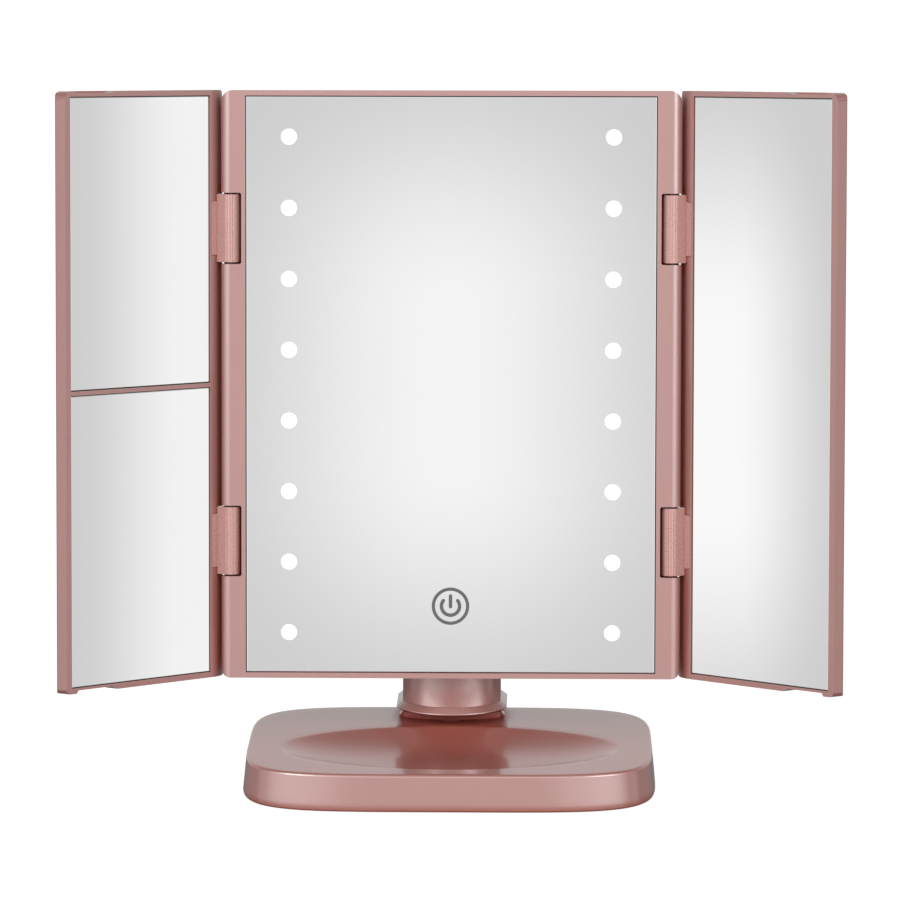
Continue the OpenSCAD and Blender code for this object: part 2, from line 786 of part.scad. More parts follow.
module wing_frame(side) {
    split = side < 0;
    difference() {
        wing_blank();
        if (split) {
            mirror_pocket(end_bezel, panel_h / 2 - divider_w / 2);
            mirror_pocket(panel_h / 2 + divider_w / 2, panel_h - end_bezel);
        } else {
            mirror_pocket(end_bezel, panel_h - end_bezel);
        }
        // seat of the back cover
        block([wing_cover_in, wing_t - wing_cover_t, wing_cover_in],
            [wing_w - wing_cover_in, wing_t + over, panel_h - wing_cover_in]);
        at_hinges() {
            // seats of the leaf's plate and arm
            block([arm_u - 1, -over, -plate_h / 2 - slip / 2],
                [plate_u + slip / 2, plate_t + seat, plate_h / 2 + slip / 2]);
            block([-over, -over, -leaf_h / 2 - slip], [arm_u + slip, plate_t + seat, leaf_h / 2 + slip]);
            for (z = [-1, 1]) translate([leaf_screw_u, 0, z * leaf_screw_z])
                bar_y(0, wing_t - wing_cover_t + over, screw_r + screw_gap, 24);
        }
    }
}

module left_wing_frame() {
    color(ROSE) wing_space(-1) wing_frame(-1);
}

module right_wing_frame() {
    color(ROSE) wing_space(1) wing_frame(1);
}

module wing_mirror(w0, w1) {
    block([wing_hinge_bezel + glass_gap, glass_sink, w0 + glass_gap],
        [wing_w - wing_free_bezel - glass_gap, glass_sink + wing_glass_t, w1 - glass_gap]);
}

module left_upper_mirror() {
    color(SILVER) wing_space(-1) wing_mirror(panel_h / 2 + divider_w / 2, panel_h - end_bezel);
}

module left_lower_mirror() {
    color(SILVER) wing_space(-1) wing_mirror(end_bezel, panel_h / 2 - divider_w / 2);
}

module right_mirror() {
    color(SILVER) wing_space(1) wing_mirror(end_bezel, panel_h - end_bezel);
}

module wing_back() {
    difference() {
        block([cover_u, wing_t - wing_cover_t + seat, cover_u],
            [wing_w - cover_u, wing_t, panel_h - cover_u]);
        at_hinges() for (z = [-1, 1]) translate([leaf_screw_u, 0, z * leaf_screw_z])
            bar_y(wing_t - wing_cover_t - over, wing_t - cover_skin, screw_head_r + 0.2, 32);
    }
}

module left_wing_back() {
    color(ROSE) wing_space(-1) wing_back();
}

module right_wing_back() {
    color(ROSE) wing_space(1) wing_back();
}

// One leaf: a ribbed barrel round the pin, an arm to the wing and a plate let into its frame
module hinge_leaf(angle) {
    difference() {
        union() {
            translate([edge_r, -wing_off, -leaf_h / 2]) cylinder(h = leaf_h, r = barrel_r, $fn = 64);
            block([arm_in, -wing_off, -leaf_h / 2], [arm_u, plate_t, leaf_h / 2]);
            block([arm_u - 1, 0, -plate_h / 2], [plate_u, plate_t, plate_h / 2]);
        }
        translate([edge_r, -wing_off, -leaf_h / 2 - over])
            cylinder(h = leaf_h + 2 * over, r = pin_r + run, $fn = 32);
        // the two grooves that part the barrel into ribs, facing the front in the part-open place
        translate([edge_r, -wing_off, -leaf_h / 2 - over]) rotate([0, 0, angle])
            for (s = [-1, 1]) translate([s * groove_x, -sqrt(pow(barrel_r, 2) - pow(groove_x, 2)), 0])
                cylinder(h = leaf_h + 2 * over, r = groove_r, $fn = 24);
        for (z = [-1, 1]) translate([leaf_screw_u, 0, z * leaf_screw_z])
            bar_y(0, plate_t + over, screw_r + press, 24);
    }
}

module left_hinge_leaves() {
    color(ROSE) wing_space(-1) at_hinges() hinge_leaf(left_fold);
}

module right_hinge_leaves() {
    color(ROSE) wing_space(1) at_hinges() hinge_leaf(right_fold);
}

module leaf_screws() {
    at_hinges() for (z = [-1, 1]) translate([leaf_screw_u, wing_t - wing_cover_t + seat, z * leaf_screw_z])
        screw_y(screw_r, screw_head_r, 0.7, wing_t - wing_cover_t - screw_short);
}

module left_leaf_screws() {
    color(STEEL) wing_space(-1) leaf_screws();
}

module right_leaf_screws() {
    color(STEEL) wing_space(1) leaf_screws();
}

// ---- Column and tilt hinge ----

// The column's section: straight sides and back, bowed front
module column_section(inset) {
    intersection() {
        translate([0, col_front + col_front_r]) circle(r = col_front_r - inset, $fn = 120);
        translate([-col_w / 2 + inset, col_front]) square([col_w - 2 * inset, col_corner + 0.01]);
    }
    r = 3 - inset / 2;
    h = col_d - col_corner - inset;
    translate([0, col_front + col_corner + h / 2]) mirror([0, 1])
        round_rect(col_w - 2 * inset, h, 0.01, r);
}

// The column's side view: upright, with a round head about the tilt axle
module column_side(inset, z0) {
    translate([col_front + inset, z0]) square([col_d - 2 * inset, pivot_z - z0]);
    translate([pivot_y, pivot_z]) circle(r = head_r - inset, $fn = 96);
}

module column_shell() {
    color(ROSE_DARK) difference() {
        intersection() {
            translate([0, 0, col_low]) linear_extrude(pivot_z + head_r - col_low + over) column_section(0);
            along_x(-col_w / 2 - over, col_w / 2 + over) column_side(0, col_low);
        }
        difference() {
            intersection() {
                translate([0, 0, col_low + col_wall]) linear_extrude(pivot_z) column_section(col_wall);
                along_x(-col_w / 2 - over, col_w / 2 + over) column_side(col_wall, col_low + col_wall);
            }
            // bearing bosses for the axle
            both_sides() translate([0, pivot_y, pivot_z]) bar_x(7, col_w / 2, 6.5);
            // screw posts
            at_column_screws() translate([0, 0, col_low]) cylinder(h = col_post_h, r = col_post_r, $fn = 32);
        }
        // opening for the rear cover
        block([-cover_w / 2, col_back - col_wall - over, cover_z[0]],
            [cover_w / 2, col_back + over, cover_z[1]]);
        translate([0, pivot_y, pivot_z]) bar_x(-col_w / 2 - over, col_w / 2 + over, axle_r + press);
        at_column_screws() translate([0, 0, col_low - over])
            cylinder(h = col_post_h - 2, r = screw_r + press, $fn = 24);
    }
}

module column_back() {
    color(ROSE_DARK) block([-cover_w / 2 + cover_gap, col_back - col_wall, cover_z[0] + cover_gap],
        [cover_w / 2 - cover_gap, col_back - 0.2, cover_z[1] - cover_gap]);
}

module column_screws() {
    color(STEEL) at_column_screws() translate([0, 0, collar_floor - seat]) screw_up(10, 1.5);
}

// A screw standing up, with the top of its head at z = 0
module screw_up(l, head_t) {
    cylinder(h = l, r = screw_r, $fn = 24);
    mirror([0, 0, 1]) cylinder(h = head_t, r = 2.3, $fn = 32);
}

module tilt_axle() {
    color(STEEL) translate([0, pivot_y, pivot_z]) bar_x(-lug_x - lug_t + 0.2, lug_x + lug_t - 0.2, axle_r);
}

module tilt_washers() {
    color(STEEL) both_sides() translate([col_w / 2 + seat, pivot_y, pivot_z]) difference() {
        bar_x(0, washer_t, 8);
        bar_x(-over, washer_t + over, axle_r + press);
    }
}

// ---- Collar ----

// A ring of the column's form: bowed front, straight sides, cut rear corners
function collar_ring(half, front, sag, back, cut, z) = let (
    r = (pow(half, 2) + pow(sag, 2)) / (2 * sag),
    a = asin(half / r)
) concat(
    [for (i = [0 : arc_steps]) let (t = -a + 2 * a * i / arc_steps)
        [r * sin(t), front + r - r * cos(t), z]],
    [[half, back - cut, z], [half - cut, back, z], [-half + cut, back, z], [-half, back - cut, z]]);

module collar() {
    color(ROSE_DARK) difference() {
        union() {
            loft([
                collar_ring(neck_w / 2, neck_front, neck_sag, collar_back - 1, 2, base_h + seat),
                collar_ring(neck_w / 2, neck_front, neck_sag, collar_back - 1, 2, base_h + neck_h),
                collar_ring(rim_w / 2, col_front - rim_out + 0.4, rim_sag, collar_back, rim_corner,
                    rim_z - rim_lip),
                collar_ring(rim_w / 2, col_front - rim_out + 0.4, rim_sag, collar_back, rim_corner, rim_z),
                collar_ring(col_w / 2 + seat, col_front - 0.1, col_corner, col_back + 0.1, 2,
                    rim_z + bevel_h - seat)
            ]);
            // plug that goes down into the base
            block([-plug_w / 2, plug_y[0], base_h - plug_depth], [plug_w / 2, plug_y[1], base_h + 1]);
            // spring clips at the sides
            both_sides() translate([neck_w / 2 - 1, neck_front + 9, base_h + seat])
                along_y(-2.5, 2.5) polygon([[0, 0], [2.9, 0], [2.9, 0.5], [1.2, 2.6], [0, 2.6]]);
        }
        // space for the column screws' heads, from below
        at_column_screws() {
            cylinder(h = collar_floor, r = 2.6, $fn = 32);
            cylinder(h = rim_z + bevel_h + over, r = screw_r + 0.2, $fn = 24);
        }
    }
}

// ---- Base ----

// Sections of the base's outside, shrunk evenly by inset
function base_ring(inset, z) = oval(base_w / 2 - inset, base_d / 2 - inset, base_n, z, base_steps);

function draft_at(z) = base_draft * (z - base_foot) / (base_h - base_foot);

// The dish as a stack of ovals: share is the distance from the middle, from 0 to 1
function dish_floor(share) = base_h - dish_h * (1 - pow(share, 3.2));

function dish_ring(share, drop) = oval(dish_a * share, dish_b * share, 2,
    dish_floor(share) - drop, dish_steps, dish_y);

module dish_cut() {
    loft(concat([for (s = [0.1, 0.35, 0.55, 0.7, 0.82, 0.92, 1]) dish_ring(s, 0)],
        [oval(dish_a + 0.6, dish_b + 0.6, 2, base_h + over, dish_steps, dish_y)]));
}

module dish_underside() {
    loft(concat([for (s = [0.1, 0.55, 0.82, 1]) dish_ring(s, base_wall)],
        [oval(dish_a + 3, dish_b + 3, 2, base_h, dish_steps, dish_y)]));
}

module base_shell() {
    color(ROSE) difference() {
        loft([base_ring(0.5, base_foot), base_ring(draft_at(base_foot + 0.5), base_foot + 0.5),
            base_ring(draft_at(base_h - base_top_r), base_h - base_top_r),
            base_ring(base_draft + base_top_r * 0.3, base_h - base_top_r * 0.3),
            base_ring(base_draft + base_top_r, base_h)]);
        dish_cut();
        difference() {
            loft([base_ring(base_wall, 0), base_ring(base_wall + base_draft, base_h - base_wall)]);
            dish_underside();
            at_bosses() cylinder(h = base_h, r = boss_r, $fn = 32);
            block([-plug_w / 2 - plug_wall, plug_y[0] - plug_wall, plate_z + plate_t2 + weight_t],
                [plug_w / 2 + plug_wall, plug_y[1] + plug_wall, base_h]);
        }
        at_bosses() translate([0, 0, -over]) {
            cylinder(h = base_h - 2, r = screw_r + press, $fn = 24);
            cylinder(h = plate_z + plate_t2 + over + seat, r = boss_r + 1, $fn = 32);
        }
        // socket for the collar's plug
        block([-plug_w / 2 - plug_gap, plug_y[0] - plug_gap, base_h - plug_depth - 2 * plug_gap],
            [plug_w / 2 + plug_gap, plug_y[1] + plug_gap, base_h + over]);
        // latch slot in front of the neck
        block([-latch_w / 2, neck_front - latch_out, base_h - latch_deep],
            [latch_w / 2, neck_front + latch_in, base_h + over]);
    }
}

module at_bosses() {
    both_sides() for (p = boss_at) translate([p[0], p[1], 0]) children();
}

module base_plate() {
    color(BLACK) difference() {
        loft([base_ring(base_wall + plate_in, plate_z + seat),
            base_ring(base_wall + plate_in, plate_z + plate_t2)]);
        at_bosses() {
            translate([0, 0, -over]) cylinder(h = 10, r = screw_r + 0.3, $fn = 24);
            translate([0, 0, -over]) cylinder(h = over + plate_z + 0.9, r = 2.7, $fn = 32);
        }
    }
}

module weight_plate() {
    color(STEEL) translate([0, 0, plate_z + plate_t2 + seat]) linear_extrude(weight_t)
        translate([0, dish_y]) round_rect(2 * weight_a, 2 * weight_b, 6, 6);
}

module plate_screws() {
    color(STEEL) at_bosses() translate([0, 0, plate_z + 0.9 - seat]) screw_up(8, 0.8);
}

module base_pad() {
    color(BLACK) linear_extrude(pad_t) difference() {
        polygon([for (p = base_ring(pad_in, 0)) [p[0], p[1]]]);
        for (s = [-1, 1], p = boss_at) translate([s * p[0], p[1]]) circle(r = 5, $fn = 32);
    }
}

panel_frame();
center_mirror();
light_diffusers();
led_boards();
leds();
touch_pad();
touch_spring();
control_board();
usb_socket();
switch_body();
switch_slider();
rear_housing();
housing_screws();
battery_cells();
battery_springs();
battery_contacts();
battery_door();
hinge_pins();
axle_caps();
left_wing_frame();
left_upper_mirror();
left_lower_mirror();
left_wing_back();
left_hinge_leaves();
left_leaf_screws();
right_wing_frame();
right_mirror();
right_wing_back();
right_hinge_leaves();
right_leaf_screws();
column_shell();
column_back();
column_screws();
tilt_axle();
tilt_washers();
collar();
base_shell();
base_plate();
weight_plate();
plate_screws();
base_pad();
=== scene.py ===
import json
import math

import bmesh
import bpy
from mathutils import Matrix, Vector

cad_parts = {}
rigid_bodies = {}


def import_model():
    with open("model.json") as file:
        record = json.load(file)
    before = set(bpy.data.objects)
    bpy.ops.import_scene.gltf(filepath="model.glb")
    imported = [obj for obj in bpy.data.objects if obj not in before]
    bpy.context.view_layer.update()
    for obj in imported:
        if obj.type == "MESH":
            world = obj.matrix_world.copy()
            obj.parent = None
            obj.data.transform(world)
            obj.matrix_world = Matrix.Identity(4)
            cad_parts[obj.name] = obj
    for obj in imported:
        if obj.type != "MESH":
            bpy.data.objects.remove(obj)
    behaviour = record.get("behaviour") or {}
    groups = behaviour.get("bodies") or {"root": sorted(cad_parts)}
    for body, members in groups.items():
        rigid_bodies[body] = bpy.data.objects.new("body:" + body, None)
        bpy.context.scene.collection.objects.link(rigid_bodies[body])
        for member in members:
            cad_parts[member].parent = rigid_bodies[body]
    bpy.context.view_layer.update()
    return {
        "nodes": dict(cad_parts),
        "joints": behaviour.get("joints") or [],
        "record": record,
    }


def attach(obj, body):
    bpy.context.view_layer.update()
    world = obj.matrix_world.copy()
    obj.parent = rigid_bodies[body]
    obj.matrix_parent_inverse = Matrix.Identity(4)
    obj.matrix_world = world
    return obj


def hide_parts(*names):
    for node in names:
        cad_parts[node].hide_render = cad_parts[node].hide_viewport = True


# The looks of a trifold vanity mirror: lacquered shells, silvered glass, lamp windows and the studio.
# Everything is in metres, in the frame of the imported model. MM turns a size in millimetres to metres.

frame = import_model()

MM = 0.001

# ---- Places, worked out from the frame ----

joints = {joint["name"]: joint for joint in frame["joints"]}
ACROSS = Vector((1, 0, 0))
panel_up = Vector(joints["left_wing_fold"]["axis"]).normalized()
panel_back = panel_up.cross(ACROSS)

AXLE_BACK = 32.27 * MM       # from the panel's front plane back to the tilt axle
AXLE_UP = 22.1 * MM          # from the panel's lower edge up to the tilt axle
GLASS_SINK = 0.5 * MM        # the glass lies this far below the front of its frame
PANEL_HEIGHT = 233 * MM
EDGE_RADIUS = 3.65 * MM      # the panel's rounded sides
WING_OFFSET = 4.1 * MM       # from a pin's axis back to the mirror face of its wing


def placed(across, back, origin):
    """From a space with X across, Y back and Z up the panel to the frame."""
    made = Matrix((across, back, panel_up)).transposed().to_4x4()
    made.translation = origin
    return made


axle = Vector(joints["panel_tilt"]["pos_m"])
panel_space = placed(ACROSS, panel_back, axle - AXLE_BACK * panel_back - AXLE_UP * panel_up)


def wing_space(side):
    """The space of one wing: X from its hinge edge, Y back from its mirror face."""
    joint = joints["left_wing_fold" if side < 0 else "right_wing_fold"]
    fold = -math.radians(joint["range_deg"][0])
    along = side * math.cos(fold) * ACROSS - math.sin(fold) * panel_back
    behind = math.cos(fold) * panel_back + side * math.sin(fold) * ACROSS
    pin = Vector(joint["pos_m"]) - PANEL_HEIGHT / 2 * panel_up
    return placed(along, behind, pin - EDGE_RADIUS * along + WING_OFFSET * behind)


# ---- Helpers ----


def linear(hex_colour):
    """An sRGB hex colour as linear red, green, blue and alpha."""
    parts = [int(hex_colour[i:i + 2], 16) / 255 for i in (1, 3, 5)]
    return tuple(p / 12.92 if p <= 0.04045 else ((p + 0.055) / 1.055) ** 2.4 for p in parts) + (1,)


def node(tree, kind, inputs=None, **settings):
    """Adds a node with its settings. An input is named or counted, and takes a value, a socket,
    a node, whose first open output it takes, or a list of these."""
    made = tree.nodes.new(kind)
    for name, value in settings.items():
        setattr(made, name, value)
    for name, value in (inputs or {}).items():
        socket = made.inputs[name] if isinstance(name, int) else next(
            s for s in made.inputs if s.name == name and s.enabled)
        for source in value if isinstance(value, list) else [value]:
            if isinstance(source, bpy.types.Node):
                source = next(s for s in source.outputs if s.enabled)
            if isinstance(source, bpy.types.NodeSocket):
                tree.links.new(source, socket)
            else:
                socket.default_value = source
    return made


def new_material(name, **constants):
    """A material whose shader has these constants, with its tree and Object coordinates."""
    made = bpy.data.materials.new(name)
    made.use_nodes = True
    tree = made.node_tree
    for socket, value in constants.items():
        tree.nodes["Principled BSDF"].inputs[socket.replace("_", " ")].default_value = value
    return made, tree, node(tree, "ShaderNodeTexCoord").outputs["Object"]


def finished(tree, colour=None, roughness=None, relief=None, depth=0.0, glow=None):
    """Joins a material's patterns to its shader. Relief is as deep as the real one, in metres."""
    shader = tree.nodes["Principled BSDF"]
    if relief is not None:
        relief = node(tree, "ShaderNodeBump", {"Height": relief, "Distance": depth, "Strength": 1.0})
    for name, source in (("Base Color", colour), ("Roughness", roughness), ("Normal", relief),
                         ("Emission Color", glow)):
        if source is not None:
            socket = next(s for s in source.outputs if s.enabled)
            tree.links.new(socket, shader.inputs[name])


# ---- Materials ----

FLAKE = 0.3 * MM        # pearl flakes are about 0.03 mm; drawn coarser so that they show
DRIFT = 22 * MM         # slow change from one spray pass to the next
ORANGE_PEEL = 1.6 * MM  # waves of sprayed lacquer
ORANGE_PEEL_DEPTH = 0.0006 * MM
PEARL_IOR = 2.9         # titania on mica
COAT_ROUGHNESS = 0.12
DRIFT_SHARE = 0.75      # of the colour change, and flakes have the rest
FLAKE_GLOSS = 0.03      # how far a flake's roughness strays
SHEEN_SPAN = (0.3, 0.8)                                          # how open a place is where the sheen is
FULL_SHEEN = (("Specular IOR Level", 0.5), ("Coat Weight", 1.0))  # out, and where it is full


def pearl_lacquer(name, light, dark, roughness, crevice):
    """Pearl lacquer, sprayed on moulded ABS: titania-coated mica in a red-brown binder, under a clear coat.
    The flakes' high index gives a broad pale sheen where the surface faces light, and the binder's deeper
    colour shows where it doesn't. As painted shade, the sheen and the coat are turned down where another
    wall is nearer than crevice."""
    made, tree, coords = new_material(name, IOR=PEARL_IOR, Coat_Roughness=COAT_ROUGHNESS)
    cells = node(tree, "ShaderNodeTexVoronoi", {"Vector": coords, "Scale": 1 / FLAKE})
    flake = node(tree, "ShaderNodeSeparateColor", {"Color": cells.outputs["Color"]})
    drift = node(tree, "ShaderNodeTexNoise", {"Vector": coords, "Scale": 1 / DRIFT, "Detail": 2.0})
    amount = node(tree, "ShaderNodeMix", {"Factor": DRIFT_SHARE, "A": flake, "B": drift},
                  data_type="FLOAT")
    peel = node(tree, "ShaderNodeTexNoise", {"Vector": coords, "Scale": 1 / ORANGE_PEEL, "Detail": 1.0})
    # Painted shade: ambient occlusion turns the sheen and the coat down in crevices and between parts.
    openness = node(tree, "ShaderNodeAmbientOcclusion", {"Distance": crevice}, samples=8)
    shaded = node(tree, "ShaderNodeMapRange", {
        "Value": openness.outputs["AO"], "From Min": SHEEN_SPAN[0], "From Max": SHEEN_SPAN[1]},
        interpolation_type="SMOOTHSTEP")
    for socket, most in FULL_SHEEN:
        level = node(tree, "ShaderNodeMath", {0: shaded, 1: most}, operation="MULTIPLY")
        tree.links.new(level.outputs[0], tree.nodes["Principled BSDF"].inputs[socket])
    finished(tree,
             node(tree, "ShaderNodeMix", {"Factor": amount, "A": linear(dark), "B": linear(light)},
                  data_type="RGBA"),
             node(tree, "ShaderNodeMapRange", {"Value": flake, "To Min": roughness - FLAKE_GLOSS,
                                               "To Max": roughness + FLAKE_GLOSS}),
             peel, ORANGE_PEEL_DEPTH)
    return made


def grained(name, first, second, grain, roughness, depth=0.0, detail=2.0, glow=False, **constants):
    """A surface with one even grain of a real size, which shifts its colour, gloss and relief."""
    made, tree, coords = new_material(name, **constants)
    speck = node(tree, "ShaderNodeTexNoise", {"Vector": coords, "Scale": 1 / grain, "Detail": detail})
    colour = node(tree, "ShaderNodeMix", {"Factor": speck, "A": linear(first), "B": linear(second)},
                  data_type="RGBA")
    finished(tree, colour,
             node(tree, "ShaderNodeMapRange", {"Value": speck, "To Min": roughness[0],
                                               "To Max": roughness[1]}),
             speck if depth else None, depth, colour if glow else None)
    return made


# Crevice sets how far the painted shade reaches: between wing and panel on the shells, and in the grooves of
# the hinge leaves.
LACQUER = pearl_lacquer("rose_gold_lacquer", "#A75D52", "#9F574C", 0.34, 12 * MM)
HINGE_LACQUER = pearl_lacquer("rose_gold_hinge_lacquer", "#C06C5C", "#B46152", 0.3, 1.6 * MM)
# Silver behind float glass: a clean mirror with the faintest haze left by wiping.
MIRROR = grained("silvered_float_glass", "#F8F8F8", "#FAFAFA", 40 * MM, (0.004, 0.012), Metallic=1.0)
# Windows etched through the silver: chalk white without gloss, faintly lit from behind.
WINDOW = grained("etched_glass_window", "#F6F7F5", "#FFFFFF", 0.3 * MM, (0.8, 0.9), glow=True,
                 Emission_Strength=0.18)
# Screen-printed ink behind the glass: flat and a little uneven.
INK = grained("grey_touch_ink", "#5C5C5A", "#6A6A68", 0.4 * MM, (0.5, 0.7))
# Zinc plate on steel: bright grey metal with cloudy drift.
STEEL = grained("zinc_plated_steel", "#9EA0A2", "#C6C8CA", 2.5 * MM, (0.24, 0.4), Metallic=1.0)
# Blackened steel wire, oiled: dark, with a soft shine.
PIN = grained("blackened_steel_pin", "#3A2E2C", "#4A3C39", 1.0 * MM, (0.3, 0.45), Metallic=1.0)
# Opal acrylic sheet: milky, with a satin skin.
MILK = grained("milky_acrylic", "#EFEFEA", "#F8F8F4", 0.6 * MM, (0.4, 0.5), 0.001 * MM)
# Glass-epoxy board under solder lacquer: green, with the weave just felt.
BOARD = grained("green_lacquered_board", "#1E5A38", "#27693F", 0.5 * MM, (0.24, 0.36), 0.002 * MM)
# Silicone with phosphor over a lamp chip: yellow and soft-skinned.
CHIP = grained("phosphor_lamp_chip", "#E9D27A", "#F2DF94", 0.3 * MM, (0.34, 0.46), 0.002 * MM)
# Rolled copper foil, a little tarnished.
COPPER = grained("rolled_copper_foil", "#B46A43", "#C98159", 1.0 * MM, (0.26, 0.44), Metallic=1.0)
# Black ABS from a spark-eroded mould: a fine matt pebble.
BLACK = grained("black_moulded_abs", "#161616", "#222222", 0.35 * MM, (0.48, 0.62), 0.006 * MM)
# Shrunk vinyl sleeve on a cell: dark and smooth, with faint waves.
SLEEVE = grained("dark_vinyl_sleeve", "#17181B", "#202227", 1.5 * MM, (0.2, 0.3), 0.001 * MM)
# Closed-cell rubber foam: dull, with tiny pores.
RUBBER = grained("foam_rubber_pad", "#1B1B1B", "#2A2A2A", 0.5 * MM, (0.8, 0.92), 0.02 * MM)

SLOT_FINISH = {"rose_paint": LACQUER, "hinge_paint": HINGE_LACQUER, "mirror_glass": MIRROR,
               "milky_acrylic": MILK, "circuit_board": BOARD, "lamp_chips": CHIP, "copper_foil": COPPER,
               "spring_steel": STEEL, "black_plastic": BLACK, "cell_sleeve": SLEEVE, "pad_rubber": RUBBER}
node_slot = {part["node"]: part["material_slot"] for part in frame["record"]["subparts"]}
node_body = {name: body for body, names in frame["record"]["behaviour"]["bodies"].items()
             for name in names}

# ---- Pieces ----

unseen_in_glass = []   # pieces that the mirrors and the lacquer don't show


def new_piece(name, mesh, finish, body, slot, *stands_for):
    """A finished mesh as a piece of the object, riding on a body."""
    piece = bpy.data.objects.new(name, mesh)
    bpy.context.scene.collection.objects.link(piece)
    if finish is not None:
        mesh.materials.clear()
        mesh.materials.append(finish)
    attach(piece, body)
    if stands_for:
        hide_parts(*stands_for)
    if body in ("panel", "left_wing", "right_wing"):
        unseen_in_glass.append(name)
    return piece


def applied(piece):
    """The piece's mesh with its modifiers worked in."""
    graph = bpy.context.evaluated_depsgraph_get()
    return bpy.data.meshes.new_from_object(piece.evaluated_get(graph))


WELD = 0.002 * MM     # corners of loose triangles closer than this are one corner
FLAT = math.radians(0.6)
SHARP = math.radians(34)


def finish_node(name, edge):
    """Stands in for a CAD node: the same shape, with its sharp edges rounded as a mould rounds them."""
    mesh = frame["nodes"][name].data.copy()
    work = bmesh.new()
    work.from_mesh(mesh)
    bmesh.ops.remove_doubles(work, verts=work.verts, dist=WELD)
    bmesh.ops.dissolve_limit(work, angle_limit=FLAT, verts=work.verts, edges=work.edges)
    for face in work.faces:
        face.smooth = True
    work.to_mesh(mesh)
    work.free()
    draft = bpy.data.objects.new("draft", mesh)
    bpy.context.scene.collection.objects.link(draft)
    rounding = draft.modifiers.new("rounding", "BEVEL")
    rounding.width = edge
    rounding.segments = 3
    rounding.limit_method = "ANGLE"
    rounding.angle_limit = SHARP
    rounding.miter_outer = "MITER_ARC"
    flatten = draft.modifiers.new("flat_faces", "WEIGHTED_NORMAL")
    flatten.keep_sharp = True
    done = applied(draft)
    bpy.data.objects.remove(draft)
    slot = node_slot[name]
    return new_piece(name + "_finished", done, SLOT_FINISH[slot], node_body[name], slot, name)


MOULD_EDGE = 0.3 * MM
for shell in ("panel_frame", "rear_housing", "battery_door", "left_wing_frame", "right_wing_frame",
              "left_wing_back", "right_wing_back", "column_shell", "column_back", "collar"):
    finish_node(shell, MOULD_EDGE)
for leaf in ("left_hinge_leaves", "right_hinge_leaves"):
    finish_node(leaf, 0.15 * MM)
for glass in ("center_mirror", "left_upper_mirror", "left_lower_mirror", "right_mirror"):
    finish_node(glass, 0.2 * MM)


def ring(half_x, half_y, power, z, count, middle_y=0.0):
    """Points round a squared oval: power 2 is an ellipse, and more is squarer."""
    points = []
    for i in range(count):
        turn = 2 * math.pi * i / count
        c, s = math.cos(turn), math.sin(turn)
        x = half_x * math.copysign(abs(c) ** (2 / power), c)
        y = half_y * math.copysign(abs(s) ** (2 / power), s)
        points.append(Vector((x, middle_y + y, z)))
    return points


def skin(rings, name):
    """A closed smooth mesh through a stack of rings, capped at both ends."""
    work = bmesh.new()
    rows = [[work.verts.new(point) for point in points] for points in rings]
    count = len(rings[0])
    for low, high in zip(rows, rows[1:]):
        for i in range(count):
            work.faces.new((low[i], low[(i + 1) % count], high[(i + 1) % count], high[i]))
    work.faces.new(list(reversed(rows[0])))
    work.faces.new(rows[-1])
    bmesh.ops.recalc_face_normals(work, faces=work.faces)
    for face in work.faces:
        face.smooth = True
    mesh = bpy.data.meshes.new(name)
    work.to_mesh(mesh)
    work.free()
    mesh.set_sharp_from_angle(angle=SHARP)
    return mesh


BASE_HALF_X = 81.2 * MM
BASE_HALF_Y = 61.0 * MM
BASE_HEIGHT = 15.25 * MM
BASE_FOOT = 0.6 * MM
FOOT_EDGE = 0.9 * MM
BASE_POWER = 4.7
BASE_DRAFT = 1.3 * MM
BASE_EDGE = 1.3 * MM
BASE_WALL = 2.2 * MM
PLATE_SEAT = 2.85 * MM
SEAT_REACH = 40 * MM      # from the wall in to where the seat's skin closes flat
DISH_HALF_X = 66.8 * MM
DISH_HALF_Y = 36.9 * MM
DISH_Y = -13.1 * MM
DISH_DEPTH = 7.0 * MM
DISH_POWER = 3.2
DISH_LIP = 0.25 * MM
LATCH_SLOT = ((-3.1 * MM, 32.7 * MM, 13.75 * MM), (3.1 * MM, 35.3 * MM, 16 * MM))
AROUND = 288
DISH_RINGS = 30
DISH_STEP = 0.03


def base_ring(inset, z):
    return ring(BASE_HALF_X - inset, BASE_HALF_Y - inset, BASE_POWER, z, AROUND)


def dish_ring(share):
    z = BASE_HEIGHT - DISH_DEPTH * (1 - share ** DISH_POWER)
    return ring(DISH_HALF_X * share, DISH_HALF_Y * share, 2, z, AROUND, DISH_Y)


def base_mesh():
    """The base's whole skin: the seat of its plate, its sides, the rounded top edge and the dish."""
    rings = [base_ring(BASE_WALL + SEAT_REACH, PLATE_SEAT), base_ring(BASE_WALL, PLATE_SEAT),
             base_ring(BASE_WALL, BASE_FOOT), base_ring(FOOT_EDGE, BASE_FOOT)]
    for step in range(1, 5):
        turn = math.pi / 2 * step / 4
        rings.append(base_ring(FOOT_EDGE * (1 - math.sin(turn)),
                               BASE_FOOT + FOOT_EDGE * (1 - math.cos(turn))))
    for step in range(1, 7):
        rise = step / 6
        rings.append(base_ring(BASE_DRAFT * rise, BASE_FOOT + FOOT_EDGE
                               + (BASE_HEIGHT - BASE_EDGE - BASE_FOOT - FOOT_EDGE) * rise))
    for step in range(1, 9):
        turn = math.pi / 2 * step / 8
        rings.append(base_ring(BASE_DRAFT + BASE_EDGE * (1 - math.cos(turn)),
                               BASE_HEIGHT - BASE_EDGE + BASE_EDGE * math.sin(turn)))
    outer = rings[-1]
    lip = ring(DISH_HALF_X + DISH_LIP, DISH_HALF_Y + DISH_LIP, 2, BASE_HEIGHT, AROUND, DISH_Y)
    for step in range(1, 8):
        rings.append([a.lerp(b, step / 8) for a, b in zip(outer, lip)])
    rings.append(lip)
    shares = [1 - 0.5 * DISH_LIP / DISH_HALF_Y] + [1 - DISH_STEP * step for step in range(1, DISH_RINGS + 1)]
    rings += [dish_ring(share) for share in shares]
    return skin(rings, "base_shell_finished")


